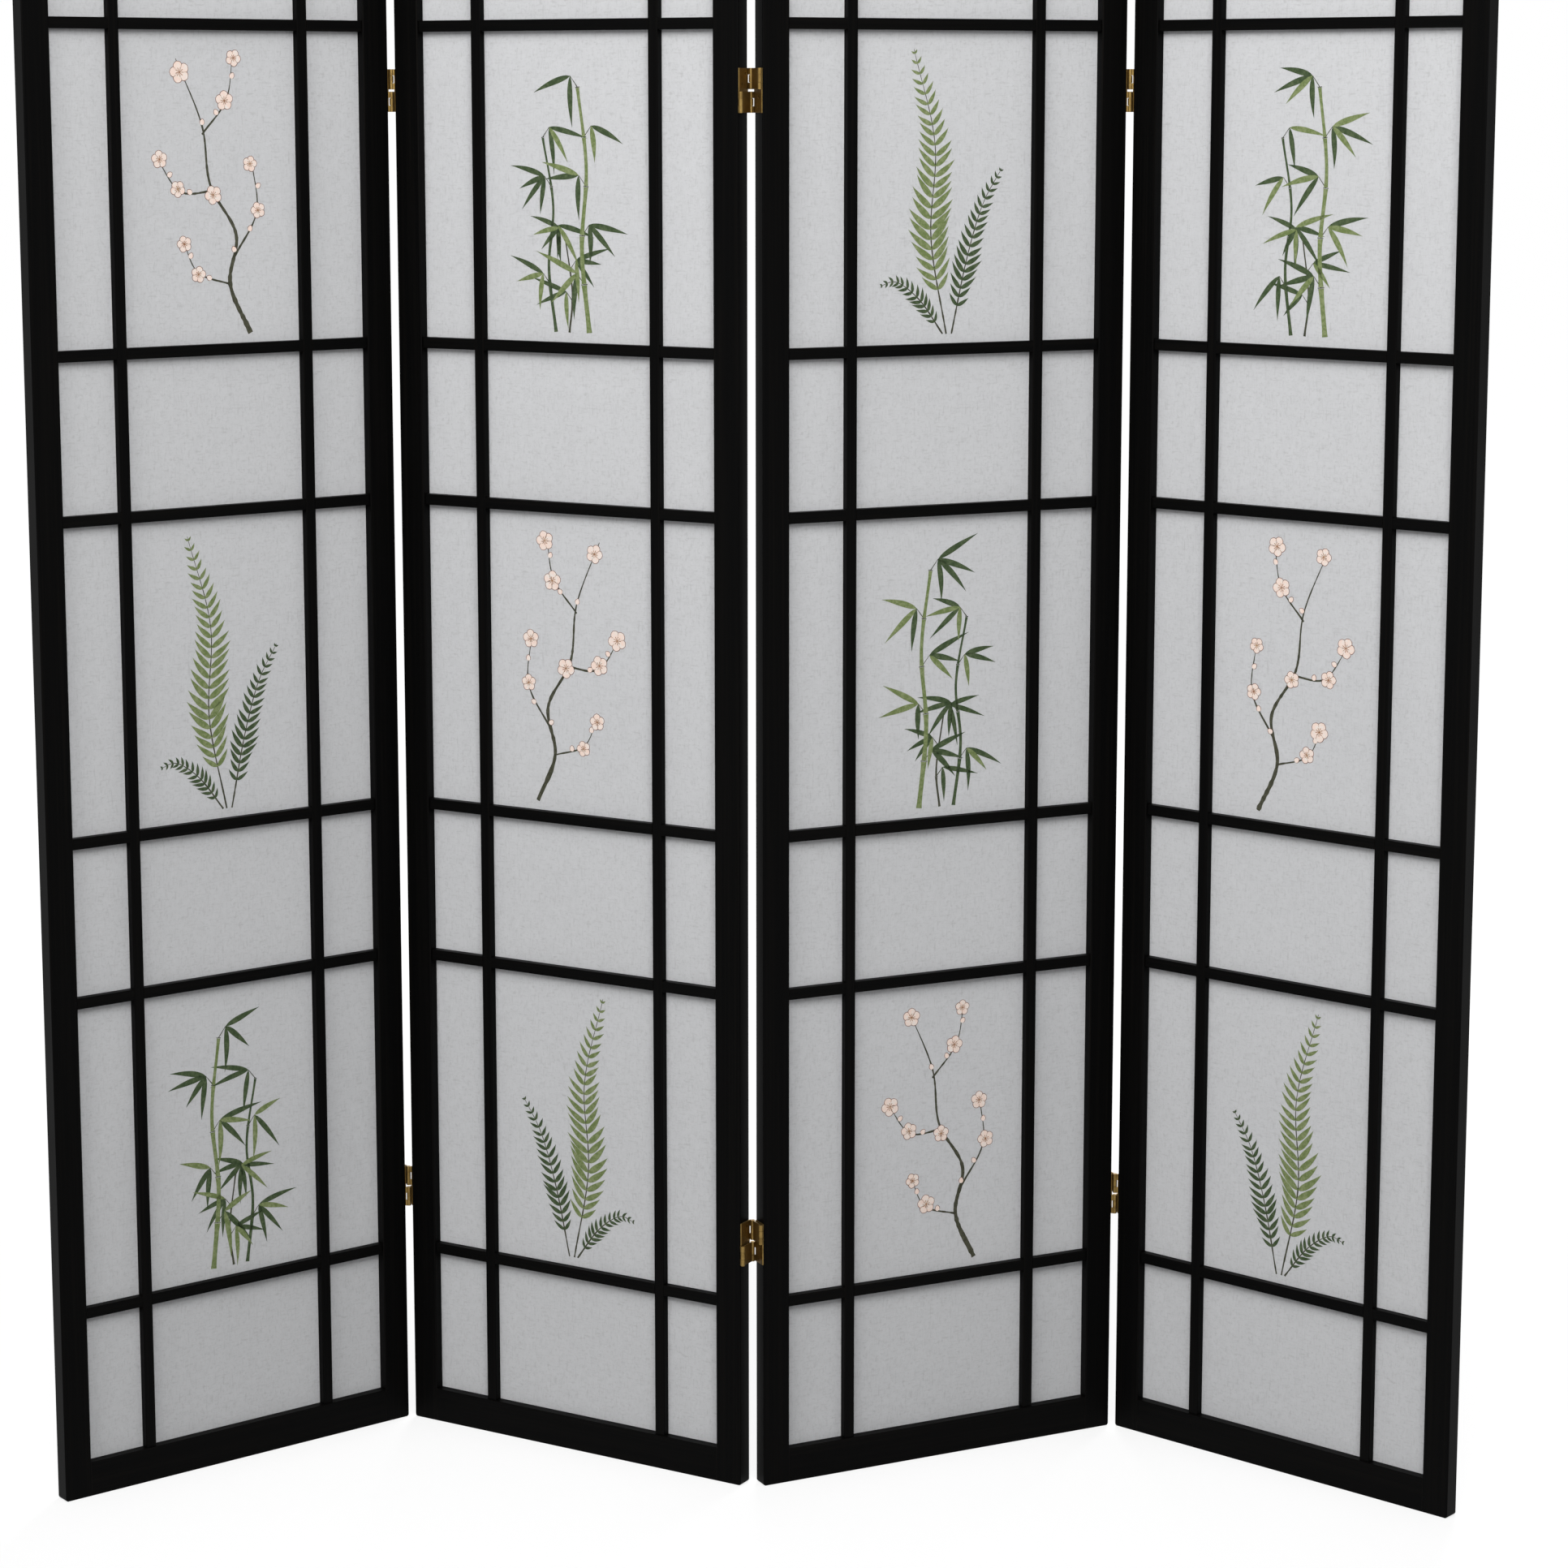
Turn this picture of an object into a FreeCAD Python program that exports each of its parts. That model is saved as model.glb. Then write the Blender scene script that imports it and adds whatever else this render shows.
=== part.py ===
import FreeCAD, Part
import math
import os

Vector = FreeCAD.Vector
Z_AXIS = Vector(0, 0, 1)

# Folding privacy screen. Lengths are millimetres and angles are degrees.
# A panel is drawn in its own frame: x runs along its width from the left edge, y runs from its
# front face to its back face, and z runs up from the floor.

# Panel frame
PANEL_WIDTH = 438.0
PANEL_HEIGHT = 1784.0
PANEL_THICKNESS = 19.0
STILE_WIDTH = 31.0
RAIL_HEIGHT = 38.0
EDGE_ROUND = 1.2
CORNER_ROUND = 3.0
INNER_CHAMFER = 0.8

# Mortise and tenon joints of the frame
TENON_LENGTH = 22.0
TENON_THICKNESS = 6.0
TENON_SHOULDER = 8.0
JOINERY_CLEARANCE = 0.1

# Lattice strips, half-lapped where they cross and housed in the frame at their ends
STRIP_WIDTH = 12.0
STRIP_DEPTH = 8.5
STRIP_RECESS = 2.5
STRIP_HOUSING = 6.0
STRIP_ROUND = 0.7
SIDE_COLUMN = 69.0
SHORT_ROW = 161.0
SHORT_ROW_COUNT = 4
TALL_ROW_COUNT = 3
LAP_SHARE = 0.5

# Paper sheet, glued to the backs of the strips and to the ledge of a rebate in the frame
PAPER_THICKNESS = 0.4
PAPER_LAP = 6.0
PAPER_MARGIN = 1.0

# Two-way hinges: two leaves joined by two crossed links on front and back pins
HINGE_HEIGHT = 46.0
HINGE_END_DISTANCE = 274.0
HINGE_REACH = 3.9
HINGE_STANDOFF = 0.75
HINGE_SLIT = 2.4
LEAF_THICKNESS = 1.2
LEAF_INSET = 0.8
LINK_THICKNESS = 1.2
BARREL_RADIUS = 2.4
PIN_RADIUS = 1.2
PIN_CLEARANCE = 0.05
KNUCKLE_LENGTH = 6.8
KNUCKLE_GAP = 0.3
LINK_CLEARANCE = 0.5

# Countersunk hinge screws, two in each half of a leaf
SCREW_SHANK_RADIUS = 1.3
SCREW_LENGTH = 16.0
SCREW_POINT = 3.0
SCREW_CLEARANCE = 0.1
SCREW_HEIGHT_SHARES = (0.25, 0.75)
SCREW_DEPTH_SHARES = (0.32, 0.68)

# How the screen stands: each panel's turn about the vertical, positive with its right end back,
# and whether each pair of neighbours folds about its front pins or its back pins
PANEL_TURNS = (38.5, -30.2, 26.4, -40.8)
FOLD_SIDES = ("front", "back", "front")

# Every cut runs past the face that it opens by this much, and points closer than the
# tolerance count as one place
OVERRUN = 1.0
SAME_PLACE = 0.01

# Sizes that follow from those above
OPENING_WIDTH = PANEL_WIDTH - 2 * STILE_WIDTH
OPENING_HEIGHT = PANEL_HEIGHT - 2 * RAIL_HEIGHT
BAR_COUNT = SHORT_ROW_COUNT + TALL_ROW_COUNT - 1
TALL_ROW = (OPENING_HEIGHT - BAR_COUNT * STRIP_WIDTH - SHORT_ROW_COUNT * SHORT_ROW) / TALL_ROW_COUNT
PAPER_PLANE = STRIP_RECESS + STRIP_DEPTH
LAP_PLANE = STRIP_RECESS + STRIP_DEPTH * LAP_SHARE
REBATE_WIDTH = PAPER_LAP + PAPER_MARGIN
TENON_FRONT = (PAPER_PLANE - TENON_THICKNESS) / 2
HALF_HINGE = (HINGE_HEIGHT - HINGE_SLIT) / 2
UPPER_HALF = HALF_HINGE + HINGE_SLIT
FRONT_PIN = -HINGE_STANDOFF
BACK_PIN = PANEL_THICKNESS + HINGE_STANDOFF
BORE_RADIUS = PIN_RADIUS + PIN_CLEARANCE
SCREW_HEAD_RADIUS = SCREW_SHANK_RADIUS + LEAF_THICKNESS
LEAF_DEPTH = PANEL_THICKNESS - 2 * LEAF_INSET
UPRIGHT_LEFTS = (STILE_WIDTH + SIDE_COLUMN, PANEL_WIDTH - STILE_WIDTH - SIDE_COLUMN - STRIP_WIDTH)
HINGE_FEET = (
    HINGE_END_DISTANCE - HINGE_HEIGHT / 2,
    PANEL_HEIGHT - HINGE_END_DISTANCE - HINGE_HEIGHT / 2,
)


def crossbar_bottoms():
    """Lower edges of the crossbars, between rows that are short, tall, short and so on."""
    bottoms = []
    level = RAIL_HEIGHT
    for row in range(BAR_COUNT):
        level += SHORT_ROW if row % 2 == 0 else TALL_ROW
        bottoms.append(level)
        level += STRIP_WIDTH
    return bottoms


def block(x_span, y_span, z_span):
    """A block between the low and high ends of three spans."""
    corner = Vector(x_span[0], y_span[0], z_span[0])
    return Part.makeBox(x_span[1] - x_span[0], y_span[1] - y_span[0], z_span[1] - z_span[0], corner)


def rod(radius, y, z_span):
    """An upright rod on the hinge's middle plane."""
    return Part.makeCylinder(radius, z_span[1] - z_span[0], Vector(0, y, z_span[0]))


def prism(points, rise):
    """A straight prism on a flat outline."""
    return Part.Face(Part.makePolygon(points + points[:1])).extrude(rise)


def grown(span, amount):
    """A span made longer by the same amount at both ends."""
    return (span[0] - amount, span[1] + amount)


def edges_where(shape, test):
    """The straight edges of a shape whose two ends both pass a test."""
    return [edge for edge in shape.Edges if all(test(vertex.Point) for vertex in edge.Vertexes)]


def near(value, target):
    return math.isclose(value, target, abs_tol=SAME_PLACE)


def mirrored_sideways(shape):
    """The same piece at the panel's other side."""
    return shape.mirror(Vector(PANEL_WIDTH / 2, 0, 0), Vector(1, 0, 0))


def mirrored_upright(shape):
    """The same piece at the panel's other end."""
    return shape.mirror(Vector(0, 0, PANEL_HEIGHT / 2), Z_AXIS)


# Frame pieces

def tenon(clearance):
    """The bottom rail's left tenon, or with a clearance the mortise that takes it."""
    return block(
        (STILE_WIDTH - TENON_LENGTH - clearance, STILE_WIDTH + OVERRUN),
        grown((TENON_FRONT, TENON_FRONT + TENON_THICKNESS), clearance),
        grown((TENON_SHOULDER, RAIL_HEIGHT - TENON_SHOULDER), clearance),
    )


def strip_socket(x_span, z_span):
    """The housing that takes the end of a lattice strip."""
    return block(
        grown(x_span, JOINERY_CLEARANCE),
        grown((STRIP_RECESS, PAPER_PLANE), JOINERY_CLEARANCE),
        grown(z_span, JOINERY_CLEARANCE),
    )


def left_stile():
    """The left stile, mortised for the rails and housed for the lattice."""
    stile = block((0, STILE_WIDTH), (0, PANEL_THICKNESS), (0, PANEL_HEIGHT))
    corners = edges_where(stile, lambda p: near(p.x, 0) and (near(p.z, 0) or near(p.z, PANEL_HEIGHT)))
    stile = stile.makeFillet(CORNER_ROUND, [edge for edge in corners if edge.Length < PANEL_HEIGHT / 2])
    for face in (0, PANEL_THICKNESS):
        outer = edges_where(stile, lambda p: near(p.x, 0) and near(p.y, face))
        stile = stile.makeFillet(EDGE_ROUND, outer)

    opening = (RAIL_HEIGHT, PANEL_HEIGHT - RAIL_HEIGHT)
    chamfer = prism(
        [
            Vector(STILE_WIDTH + OVERRUN, -OVERRUN, opening[0]),
            Vector(STILE_WIDTH - INNER_CHAMFER - OVERRUN, -OVERRUN, opening[0]),
            Vector(STILE_WIDTH + OVERRUN, INNER_CHAMFER + OVERRUN, opening[0]),
        ],
        Vector(0, 0, opening[1] - opening[0]),
    )
    rebate = block(
        (STILE_WIDTH - REBATE_WIDTH, STILE_WIDTH + OVERRUN),
        (PAPER_PLANE, PANEL_THICKNESS + OVERRUN),
        grown(opening, REBATE_WIDTH),
    )
    socket_depth = (STILE_WIDTH - STRIP_HOUSING, STILE_WIDTH + OVERRUN)
    sockets = [strip_socket(socket_depth, (low, low + STRIP_WIDTH)) for low in crossbar_bottoms()]
    mortise = tenon(JOINERY_CLEARANCE)
    return stile.cut([chamfer, rebate, mortise, mirrored_upright(mortise)] + sockets)


def bottom_rail():
    """The bottom rail with a tenon at each end."""
    rail = block((STILE_WIDTH, PANEL_WIDTH - STILE_WIDTH), (0, PANEL_THICKNESS), (0, RAIL_HEIGHT))
    rail = rail.makeFillet(
        EDGE_ROUND,
        [edge for edge in edges_where(rail, lambda p: near(p.z, 0)) if edge.Length > PANEL_THICKNESS],
    )
    along = Vector(OPENING_WIDTH, 0, 0)
    chamfer = prism(
        [
            Vector(STILE_WIDTH, -OVERRUN, RAIL_HEIGHT + OVERRUN),
            Vector(STILE_WIDTH, -OVERRUN, RAIL_HEIGHT - INNER_CHAMFER - OVERRUN),
            Vector(STILE_WIDTH, INNER_CHAMFER + OVERRUN, RAIL_HEIGHT + OVERRUN),
        ],
        along,
    )
    rebate = block(
        grown((STILE_WIDTH, PANEL_WIDTH - STILE_WIDTH), OVERRUN),
        (PAPER_PLANE, PANEL_THICKNESS + OVERRUN),
        (RAIL_HEIGHT - REBATE_WIDTH, RAIL_HEIGHT + OVERRUN),
    )
    sockets = [
        strip_socket((left, left + STRIP_WIDTH), (RAIL_HEIGHT - STRIP_HOUSING, RAIL_HEIGHT + OVERRUN))
        for left in UPRIGHT_LEFTS
    ]
    left_tenon = tenon(0)
    rail = rail.fuse([left_tenon, mirrored_sideways(left_tenon)]).cut([chamfer, rebate] + sockets)
    return rail.removeSplitter()


# Lattice and paper

def lattice_uprights():
    """Two upright strips, notched from the back at each crossbar."""
    strips = []
    for left in UPRIGHT_LEFTS:
        strip = block(
            (left, left + STRIP_WIDTH),
            (STRIP_RECESS, PAPER_PLANE),
            grown((RAIL_HEIGHT, PANEL_HEIGHT - RAIL_HEIGHT), STRIP_HOUSING),
        )
        front = edges_where(strip, lambda p: near(p.y, STRIP_RECESS))
        strip = strip.makeFillet(STRIP_ROUND, [edge for edge in front if edge.Length > OPENING_HEIGHT])
        notches = [
            block(
                grown((left, left + STRIP_WIDTH), OVERRUN),
                (LAP_PLANE, PAPER_PLANE + OVERRUN),
                grown((bottom, bottom + STRIP_WIDTH), JOINERY_CLEARANCE),
            )
            for bottom in crossbar_bottoms()
        ]
        strips.append(strip.cut(notches))
    return strips


def lattice_crossbars():
    """The level strips, notched from the front at each upright."""
    bars = []
    for bottom in crossbar_bottoms():
        bar = block(
            grown((STILE_WIDTH, PANEL_WIDTH - STILE_WIDTH), STRIP_HOUSING),
            (STRIP_RECESS, PAPER_PLANE),
            (bottom, bottom + STRIP_WIDTH),
        )
        front = edges_where(bar, lambda p: near(p.y, STRIP_RECESS))
        bar = bar.makeFillet(STRIP_ROUND, [edge for edge in front if edge.Length > OPENING_WIDTH])
        notches = [
            block(
                grown((left, left + STRIP_WIDTH), JOINERY_CLEARANCE),
                (STRIP_RECESS - OVERRUN, LAP_PLANE),
                grown((bottom, bottom + STRIP_WIDTH), OVERRUN),
            )
            for left in UPRIGHT_LEFTS
        ]
        bars.append(bar.cut(notches))
    return bars


def paper_sheet():
    """One sheet that covers the opening and laps onto the ledge all round."""
    return block(
        grown((STILE_WIDTH, PANEL_WIDTH - STILE_WIDTH), PAPER_LAP),
        (PAPER_PLANE, PAPER_PLANE + PAPER_THICKNESS),
        grown((RAIL_HEIGHT, PANEL_HEIGHT - RAIL_HEIGHT), PAPER_LAP),
    )


# Hinge pieces. A hinge is drawn in its own frame: x is 0 on the plane of its pins, midway between
# the two panels, y is the panels' depth and z is 0 at the hinge's foot. The left leaf carries the
# lower front knuckles and the upper back knuckles. The right leaf is the same piece turned round.

def turned_round(shape):
    """A left-hand hinge piece turned half round to make the right-hand one."""
    return shape.rotated(Vector(0, PANEL_THICKNESS / 2, 0), Z_AXIS, math.degrees(math.pi))


def leaf_knuckle(pin, into_panel, z_span):
    """A knuckle and the bent arm that joins it to the leaf plate."""
    plate_edge = pin + into_panel * (HINGE_STANDOFF + LEAF_INSET + LEAF_THICKNESS)
    outer_face = pin - into_panel * LEAF_THICKNESS / 2
    inner_face = pin + into_panel * LEAF_THICKNESS / 2
    base = z_span[0]
    arm = prism(
        [
            Vector(-HINGE_REACH, plate_edge, base),
            Vector(-HINGE_REACH, inner_face, base),
            Vector(-HINGE_REACH + LEAF_THICKNESS, outer_face, base),
            Vector(0, outer_face, base),
            Vector(0, inner_face, base),
            Vector(-HINGE_REACH + LEAF_THICKNESS, inner_face, base),
            Vector(-HINGE_REACH + LEAF_THICKNESS, plate_edge, base),
        ],
        Vector(0, 0, z_span[1] - z_span[0]),
    )
    return arm.fuse(rod(BARREL_RADIUS, pin, z_span))


def leaf_knuckle_spans(foot):
    """Heights of the leaf's two knuckles in the half barrel that starts at this height."""
    top = foot + HALF_HINGE
    return [(foot, foot + KNUCKLE_LENGTH), (top - KNUCKLE_LENGTH, top)]


def left_leaf():
    """A leaf plate with its knuckles, bored for the pins and countersunk for the screws."""
    plate = block(
        (-HINGE_REACH, -HINGE_REACH + LEAF_THICKNESS),
        (LEAF_INSET, LEAF_INSET + LEAF_DEPTH),
        (0, HINGE_HEIGHT),
    )
    knuckles = [leaf_knuckle(FRONT_PIN, 1, span) for span in leaf_knuckle_spans(0)]
    knuckles += [leaf_knuckle(BACK_PIN, -1, span) for span in leaf_knuckle_spans(UPPER_HALF)]
    bores = [rod(BORE_RADIUS, pin, (0, HINGE_HEIGHT)) for pin in (FRONT_PIN, BACK_PIN)]
    countersinks = [
        turned_profile(
            [
                (0, OVERRUN),
                (SCREW_HEAD_RADIUS + SCREW_CLEARANCE + OVERRUN, OVERRUN),
                (SCREW_SHANK_RADIUS + SCREW_CLEARANCE, -LEAF_THICKNESS),
                (SCREW_SHANK_RADIUS + SCREW_CLEARANCE, -LEAF_THICKNESS - OVERRUN),
                (0, -LEAF_THICKNESS - OVERRUN),
            ],
            place,
        )
        for place in screw_places()
    ]
    return plate.fuse(knuckles).cut(bores + countersinks).removeSplitter()


def link(foot):
    """A link plate between the front and back pins of one half of the hinge."""
    z_span = (foot, foot + HALF_HINGE)
    knuckle_span = grown(z_span, -KNUCKLE_LENGTH - KNUCKLE_GAP)
    half_plate = LINK_THICKNESS / 2
    plate_ends = grown((FRONT_PIN, BACK_PIN), -BARREL_RADIUS - LINK_CLEARANCE)
    plate = block((-half_plate, half_plate), plate_ends, z_span)
    neck = block((-half_plate, half_plate), (FRONT_PIN, BACK_PIN), knuckle_span)
    pins = (FRONT_PIN, BACK_PIN)
    barrels = [rod(BARREL_RADIUS, pin, knuckle_span) for pin in pins]
    bores = [rod(BORE_RADIUS, pin, z_span) for pin in pins]
    return plate.fuse([neck] + barrels).cut(bores).removeSplitter()


def left_pins():
    """The lower front pin and the upper back pin that the left leaf carries."""
    return [
        rod(PIN_RADIUS, FRONT_PIN, (0, HALF_HINGE)),
        rod(PIN_RADIUS, BACK_PIN, (UPPER_HALF, HINGE_HEIGHT)),
    ]


def screw_places():
    """Where the left leaf's screws sit: the centre of each head's flat face."""
    places = []
    for half_foot in (0, UPPER_HALF):
        for height, depth in zip(SCREW_HEIGHT_SHARES, SCREW_DEPTH_SHARES):
            places.append(
                Vector(
                    -HINGE_REACH + LEAF_THICKNESS,
                    LEAF_INSET + LEAF_DEPTH * depth,
                    half_foot + HALF_HINGE * height,
                )
            )
    return places


def turned_profile(outline, place):
    """A turned piece on a level axis. Each point is a radius and a place along the axis."""
    points = [Vector(along, radius, 0) for radius, along in outline]
    face = Part.Face(Part.makePolygon(points + points[:1]))
    piece = face.revolve(Vector(0, 0, 0), Vector(1, 0, 0), math.degrees(2 * math.pi))
    piece.translate(place)
    return piece


def screw_outline(head_radius, shank_radius, length):
    return [
        (0, 0),
        (head_radius, 0),
        (shank_radius, -LEAF_THICKNESS),
        (shank_radius, SCREW_POINT - length),
        (0, -length),
    ]


def left_screws():
    """Countersunk screws with their heads flush in the left leaf."""
    outline = screw_outline(SCREW_HEAD_RADIUS, SCREW_SHANK_RADIUS, SCREW_LENGTH)
    return [turned_profile(outline, place) for place in screw_places()]


def screw_holes():
    """The pilot holes in a stile that the left leaf's screws run into."""
    radius = SCREW_SHANK_RADIUS + SCREW_CLEARANCE
    outline = screw_outline(radius, radius, SCREW_LENGTH + SCREW_CLEARANCE)
    return [turned_profile(outline, place) for place in screw_places()]


# The whole screen

def moved(shape, x, z):
    """A copy of a shape shifted sideways and up in its panel."""
    copy = shape.copy()
    copy.translate(Vector(x, 0, z))
    return copy


def both_hinges(pieces, x):
    """Hinge pieces at the lower and the upper hinge, with the pin plane at x in the panel."""
    return [moved(piece, x, foot) for foot in HINGE_FEET for piece in pieces]


def panel_pieces(number):
    """The frame, lattice and paper of one panel, keyed by node name."""
    name = f"panel_{number}"
    rail = bottom_rail()
    left = left_stile()
    right = mirrored_sideways(left)
    if number > 1:
        left = left.cut(both_hinges([turned_round(hole) for hole in screw_holes()], -HINGE_REACH))
    if number < len(PANEL_TURNS):
        right = right.cut(both_hinges(screw_holes(), PANEL_WIDTH + HINGE_REACH))
    return {
        f"{name}_left_stile": [left],
        f"{name}_right_stile": [right],
        f"{name}_top_rail": [mirrored_upright(rail)],
        f"{name}_bottom_rail": [rail],
        f"{name}_lattice_uprights": lattice_uprights(),
        f"{name}_lattice_crossbars": lattice_crossbars(),
        f"{name}_paper": [paper_sheet()],
    }


def hinge_pieces(left_number, fold_side):
    """The pieces of a pair of hinges: those that move with the left panel, then with the right."""
    name = f"hinge_{left_number}_{left_number + 1}"
    upper = {f"{name}_upper_links": [link(UPPER_HALF)]}
    lower = {f"{name}_lower_links": [link(0)]}
    left = {
        f"{name}_left_leaves": [left_leaf()],
        f"{name}_left_pins": left_pins(),
        f"{name}_left_screws": left_screws(),
    }
    right = {
        node.replace("_left_", "_right_"): [turned_round(piece) for piece in pieces]
        for node, pieces in left.items()
    }
    left.update(upper if fold_side == "front" else lower)
    right.update(lower if fold_side == "front" else upper)
    left = {node: both_hinges(pieces, PANEL_WIDTH + HINGE_REACH) for node, pieces in left.items()}
    right = {node: both_hinges(pieces, -HINGE_REACH) for node, pieces in right.items()}
    return left, right


def turned_vector(x, y, turn):
    angle = math.radians(turn)
    return Vector(x * math.cos(angle) - y * math.sin(angle), x * math.sin(angle) + y * math.cos(angle), 0)


def panel_corners():
    """Each panel's front left foot and each fold's pin line, with the first panel at zero."""
    corners = [Vector(0, 0, 0)]
    pivots = []
    for index, side in enumerate(FOLD_SIDES):
        pin = FRONT_PIN if side == "front" else BACK_PIN
        pivot = corners[index] + turned_vector(PANEL_WIDTH + HINGE_REACH, pin, PANEL_TURNS[index])
        pivots.append(pivot)
        corners.append(pivot - turned_vector(-HINGE_REACH, pin, PANEL_TURNS[index + 1]))
    return corners, pivots


def build():
    """Every node's solids, by node name and by the panel that carries them."""
    panels = [panel_pieces(index + 1) for index in range(len(PANEL_TURNS))]
    for index, side in enumerate(FOLD_SIDES):
        left, right = hinge_pieces(index + 1, side)
        panels[index].update(left)
        panels[index + 1].update(right)
    return panels


def placed_nodes():
    """Every node's shape where it stands, and the shift that brought it there.

    The origin is on the floor, under the middle of the whole screen.
    """
    nodes = {}
    for pieces, corner, turn in zip(build(), panel_corners()[0], PANEL_TURNS):
        for node, solids in pieces.items():
            shape = solids[0] if len(solids) == 1 else Part.makeCompound(solids)
            shape = shape.copy()
            shape.rotate(Vector(0, 0, 0), Z_AXIS, turn)
            shape.translate(corner)
            nodes[node] = shape
    bounds = Part.makeCompound(list(nodes.values())).optimalBoundingBox(False, False)
    shift = Vector(-bounds.Center.x, -bounds.Center.y, -bounds.ZMin)
    for shape in nodes.values():
        shape.translate(shift)
    print("width, depth, height:", bounds.XLength, bounds.YLength, bounds.ZLength)
    return nodes, shift


def main():
    os.makedirs("parts", exist_ok=True)
    nodes, shift = placed_nodes()
    for node, shape in sorted(nodes.items()):
        shape.exportStep(f"parts/{node}.step")
        print(node, len(shape.Solids), "solids", "valid" if shape.isValid() else "NOT VALID")
    for index, pivot in enumerate(panel_corners()[1]):
        place = pivot + shift
        print(f"fold_{index + 1}_{index + 2} pin line at", place.x, place.y)


main()
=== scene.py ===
# %% [markdown]
# # A folding paper screen
# Four lattice panels stand in a zigzag, joined by small brass hinges that fold both ways. The
# wooden frames and the hinges could be modelled here, but they arrive as a finished frame of parts,
# with every joint in its true place. So this lesson only dresses them: it lacquers the wood, hangs
# the paper, prints plants on it and cuts the screw heads.

# %% Load the frame
import math

import bmesh
import bpy
import numpy as np
from mathutils import Matrix, Vector


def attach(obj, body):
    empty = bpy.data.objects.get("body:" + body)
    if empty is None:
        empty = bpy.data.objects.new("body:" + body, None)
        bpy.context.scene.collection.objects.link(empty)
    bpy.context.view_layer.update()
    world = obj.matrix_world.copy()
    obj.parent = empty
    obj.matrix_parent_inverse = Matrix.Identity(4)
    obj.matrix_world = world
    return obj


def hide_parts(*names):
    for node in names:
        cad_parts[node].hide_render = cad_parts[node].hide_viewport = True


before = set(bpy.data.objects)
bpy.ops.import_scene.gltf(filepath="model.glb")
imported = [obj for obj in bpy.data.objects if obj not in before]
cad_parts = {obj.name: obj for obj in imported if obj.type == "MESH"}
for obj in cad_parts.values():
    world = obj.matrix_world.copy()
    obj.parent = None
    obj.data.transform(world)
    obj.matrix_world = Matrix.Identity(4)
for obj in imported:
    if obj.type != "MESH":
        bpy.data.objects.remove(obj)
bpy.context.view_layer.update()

MM = 0.001
print("parts in the frame:", len(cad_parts))

# %% [markdown]
# ## Measuring the frame
# The wood already stands where it belongs. Its sizes could be typed in again here, but they would
# go wrong the day that the screen is built wider, so the lesson measures the parts instead. Three
# helpers do it: the points of a part, the stretches that they fill along an axis, and the openings
# between those.

# %% Measure parts
def vertices_of(node):
    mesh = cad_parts[node].data
    return np.array([vertex.co for vertex in mesh.vertices])


def spans(values, least_gap):
    """Groups numbers that lie close together, and gives the low and high end of each group."""
    ordered = np.sort(values)
    breaks = np.where(np.diff(ordered) > least_gap)[0]
    lows = np.concatenate([ordered[:1], ordered[breaks + 1]])
    highs = np.concatenate([ordered[breaks], ordered[-1:]])
    return [(float(low), float(high)) for low, high in zip(lows, highs)]


def between(ends, strips):
    """The open stretches that strips leave between two ends."""
    edges = [ends[0], *[edge for strip in strips for edge in strip], ends[1]]
    return list(zip(edges[::2], edges[1::2]))


print("points of a paper slab:", len(vertices_of("panel_1_paper")))

# %% [markdown]
# ## Where each panel stands
# Every panel is turned by its own angle, so drawing straight into the room would mean trigonometry
# in every line. It is easier to draw one panel flat, with x along its width, y from front to back
# and z up, and to turn the finished mesh into place at the end. The paper in the frame is a plain
# slab, and its corners give that turn exactly.

# %% Find each panel's place and cells
PANELS = (1, 2, 3, 4)
STRIP_GAP = 20 * MM


class Panel:
    """One panel's place in the room, and the cells that its lattice makes."""

    def __init__(self, number):
        self.number = number
        self.name = f"panel_{number}"
        slab = vertices_of(f"{self.name}_paper")
        foot = slab[slab[:, 2] < slab[:, 2].mean()]
        left = foot[foot[:, 0] < foot[:, 0].mean()].mean(axis=0)
        right = foot[foot[:, 0] > foot[:, 0].mean()].mean(axis=0)
        self.turn = math.atan2(right[1] - left[1], right[0] - left[0])
        corner = Matrix.Translation((left[0], left[1], 0))
        self.into_room = corner @ Matrix.Rotation(self.turn, 4, "Z")
        flat = self.flat(slab)
        self.paper_low, self.paper_high = flat.min(axis=0), flat.max(axis=0)
        self.into_room = self.into_room @ Matrix.Translation((0, self.paper_low[1], 0))
        self.columns = self.openings(0, "left_stile", "right_stile", "lattice_uprights")
        self.rows = self.openings(2, "bottom_rail", "top_rail", "lattice_crossbars")

    def flat(self, points):
        """Points of the room, in the panel's own frame."""
        back = np.array(self.into_room.inverted())
        return points @ back[:3, :3].T + back[:3, 3]

    def openings(self, axis, *parts):
        """The openings along an axis, between two sides of the frame and the strips in it."""
        first, last, strips = (self.flat(vertices_of(f"{self.name}_{part}"))[:, axis]
                               for part in parts)
        return between((first.max(), last.min()), spans(strips, STRIP_GAP))


panels = [Panel(number) for number in PANELS]
for panel in panels:
    print(panel.name, "turned", round(math.degrees(panel.turn), 1), "degrees,",
          len(panel.columns), "columns and", len(panel.rows), "rows")

# %% [markdown]
# ## Camera
# The screen is seen with a long lens from about four metres, held at 1.5 m and tilted down. A
# camera can be moved by hand until the picture fits, but these numbers come from solving a
# photograph. That gives the lens as pixels of picture for each unit of slope, and Blender wants the
# same thing as millimetres on a sensor. The picture cuts off the top of the screen, so the lens
# axis lies above its middle: that is the shift.

# %% Set up the camera
PICTURE_SIDE = 1932
LENS_PIXELS = 4649
AXIS_PIXEL_Y = 840
CAMERA_PLACE = (0.0537, -4.0216, 1.5062)
CAMERA_TILT_DOWN = 0.1545
CAMERA_TURN = 0.0052


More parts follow.
